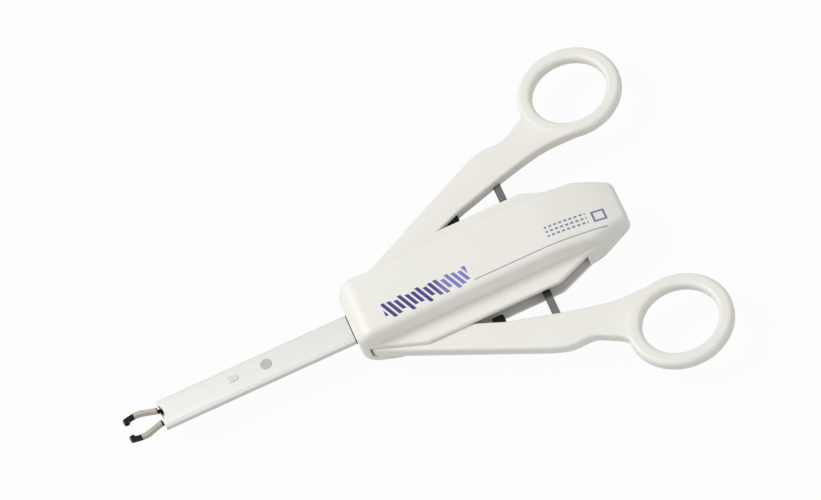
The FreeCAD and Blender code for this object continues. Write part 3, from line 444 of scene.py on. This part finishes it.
def rowTree(name, sizes, makeItem):                    # a row of equal items along X, as one mesh
    lengths = [(label, "Float") for label in ["Pitch"] + sizes]
    inputs = [("Count", "Int")] + lengths + [("Start", "Vector"), ("Finish", "Material")]
    group, tree, given = newGroup(name, inputs)
    step = tree.node("ShaderNodeCombineXYZ", None, {0: given["Pitch"]})
    points = tree.node("GeometryNodeMeshLine", dict(mode="OFFSET"),
                       {"Count": given["Count"], "Start Location": given["Start"], "Offset": step})
    placed = tree.node("GeometryNodeInstanceOnPoints", None,
                       {"Points": points, "Instance": makeItem(tree, given)})
    closeGroup(tree, placed, given)
    return group


def clipItem(tree, given):                             # the open wire clip, bent from the drawn line
    path = tree.node("GeometryNodeMeshToCurve", None, {"Mesh": given["Geometry"]})
    bent = tree.node("GeometryNodeFilletCurve", dict(mode="POLY"),
                     {"Curve": path, "Count": clipRow["bendSteps"], "Radius": given["Bend radius"]})
    square = tree.node("GeometryNodeCurvePrimitiveQuadrilateral", dict(mode="RECTANGLE"),
                       {"Width": given["Wire"], "Height": given["Wire"]})
    section = tree.node("GeometryNodeFilletCurve", dict(mode="POLY"),
                        {"Curve": square, "Count": clipRow["cornerSteps"], "Radius": given["Corner"]})
    return tree.node("GeometryNodeCurveToMesh", None,
                     {"Curve": bent, "Profile Curve": section, "Fill Caps": True})


def weldItem(tree, given):                             # a shallow round weld mark on the folded side
    ball = tree.node("GeometryNodeMeshUVSphere", None,
                     {"Segments": weldRow["segments"], "Rings": weldRow["rings"], "Radius": given["Radius"]})
    flat = tree.node("ShaderNodeCombineXYZ", None, {0: 1.0, 1: given["Flatness"], 2: 1.0})
    return tree.node("GeometryNodeTransform", None, {"Geometry": ball, "Scale": flat})


def makePiece(name, group, values, body, drawn=()):   # runs a group on a drawn line, or on nothing
    mesh = bpy.data.meshes.new(name + "Line")
    mesh.from_pydata([(x * mm, y * mm, 0) for x, y in drawn], [(i, i + 1) for i in range(len(drawn) - 1)], [])
    piece = bpy.data.objects.new(name, mesh)
    scene.collection.objects.link(piece)
    modifier = piece.modifiers.new(name, "NODES")
    modifier.node_group = group
    for label, value in values.items():
        modifier[inputIdentifier(group, label)] = value
    made = bpy.data.meshes.new_from_object(piece.evaluated_get(bpy.context.evaluated_depsgraph_get()))
    piece.modifiers.clear()
    piece.data = made
    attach(piece, body)
    return piece


s = clipRow
clipTree = rowTree("clipRow", ["Wire", "Corner", "Bend radius"], clipItem)
clipValues = {"Count": s["count"], "Pitch": -s["pitch"] * mm, "Wire": s["wire"] * mm,
              "Corner": s["corner"] * mm, "Bend radius": s["bend"] * mm,
              "Start": (s["frontX"] * mm, 0.0, s["level"] * mm), "Finish": finishes["clip"]}
clips = makePiece("clips", clipTree, clipValues, "clip_train", s["line"])
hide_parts("clip_stack")

s = weldRow
weldTree = rowTree("weldRow", ["Radius", "Flatness"], weldItem)
for side, name in ((1, "weldsLeft"), (-1, "weldsRight")):
    weldValues = {"Count": s["count"], "Pitch": s["pitch"] * mm, "Radius": s["radius"] * mm,
                  "Flatness": s["flatness"], "Finish": finishes["shaft"],
                  "Start": (s["firstX"] * mm, side * s["sideY"] * mm, s["level"] * mm)}
    makePiece(name, weldTree, weldValues, "housing")
print("clip row and weld marks made")


mainSpring = dict(node="return_spring", wire=0.8, turns=9.0, facets=10, perTurn=32, travel=8.0)
clipSpring = dict(node="follower_spring", wire=0.4, turns=12.0, facets=8, perTurn=24)


def coilTree():                                        # a round-wire compression spring along X
    group, tree, given = newGroup("coil", [("Turns", "Float"), ("Radius", "Float"), ("Wire", "Float"),
                                           ("Length", "Float"), ("Facets", "Int"), ("Per turn", "Int"),
                                           ("Start", "Vector"), ("Finish", "Material")])
    helix = tree.node("GeometryNodeCurveSpiral", None,
                      {"Resolution": given["Per turn"], "Rotations": given["Turns"], "Height": given["Length"],
                       "Start Radius": given["Radius"], "End Radius": given["Radius"]})
    section = tree.node("GeometryNodeCurvePrimitiveCircle", dict(mode="RADIUS"),
                        {"Resolution": given["Facets"], "Radius": given["Wire"] * 0.5})
    wound = tree.node("GeometryNodeCurveToMesh", None,
                      {"Curve": helix, "Profile Curve": section, "Fill Caps": True})
    laid = tree.node("GeometryNodeTransform", None,
                     {"Geometry": wound, "Translation": given["Start"], "Rotation": (0.0, math.pi / 2, 0.0)})
    closeGroup(tree, laid, given)
    return group


def makeSpring(name, group, s):                        # takes its place and size from the CAD spring
    low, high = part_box(s["node"])
    wire, middle = s["wire"] * mm, (low + high) / 2
    values = {"Turns": s["turns"], "Radius": (high.z - low.z - wire) / 2, "Wire": wire,
              "Length": high.x - low.x - wire, "Facets": s["facets"], "Per turn": s["perTurn"],
              "Start": (low.x + wire / 2, middle.y, middle.z), "Finish": finishes["spring"]}
    piece = makePiece(name, group, values, "housing")
    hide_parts(s["node"])
    return piece, low, high


coils = coilTree()
piece, low, high = makeSpring("mainCoil", coils, mainSpring)
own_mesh(piece)
makeSpring("clipCoil", coils, clipSpring)
print("springs wound")


coverRivets = dict(                                    # rounded heads over the two holes in the cover
    level=14.35, sunk=0.05, bevel=0.14, bevelAngles=(0.52, 1.05, 1.571), sides=40,
    heads=(dict(name="roundHead", finish="rivet", at=(80.5, -0.4), run=0.0, radius=2.45, height=0.16),
           dict(name="longHead", finish="paleRivet", at=(94.7, -0.6), run=1.7, radius=1.45, height=0.26)))


def headMesh(s, head):                                 # a flat head with a rounded rim; run makes it oblong
    mesh = bpy.data.meshes.new(head["name"])
    shape = bmesh.new()
    arc = [math.tau * i / s["sides"] for i in range(s["sides"])]
    levels = [(0.0, -s["sunk"]), (0.0, head["height"] - s["bevel"])]
    levels += [(s["bevel"] * (1 - math.cos(a)), head["height"] - s["bevel"] * (1 - math.sin(a)))
               for a in s["bevelAngles"]]
    rings = []
    for inset, up in levels:
        reach = head["radius"] - inset
        rings.append([shape.verts.new(((head["at"][0] + math.copysign(head["run"] / 2, math.cos(a))
                                        + reach * math.cos(a)) * mm,
                                       (head["at"][1] + reach * math.sin(a)) * mm, (s["level"] + up) * mm))
                      for a in arc])
    for low, high in zip(rings, rings[1:]):
        for i in range(s["sides"]):
            shape.faces.new((low[i - 1], low[i], high[i], high[i - 1]))
    shape.faces.new(rings[-1])
    shape.faces.new(rings[0][::-1])
    for face in shape.faces:
        face.smooth = len(face.verts) == 4
    shape.to_mesh(mesh)
    shape.free()
    return mesh


for head in coverRivets["heads"]:
    piece = bpy.data.objects.new(head["name"], headMesh(coverRivets, head))
    piece.data.materials.append(finishes[head["finish"]])
    scene.collection.objects.link(piece)
    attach(piece, "housing")
print("cover heads made")
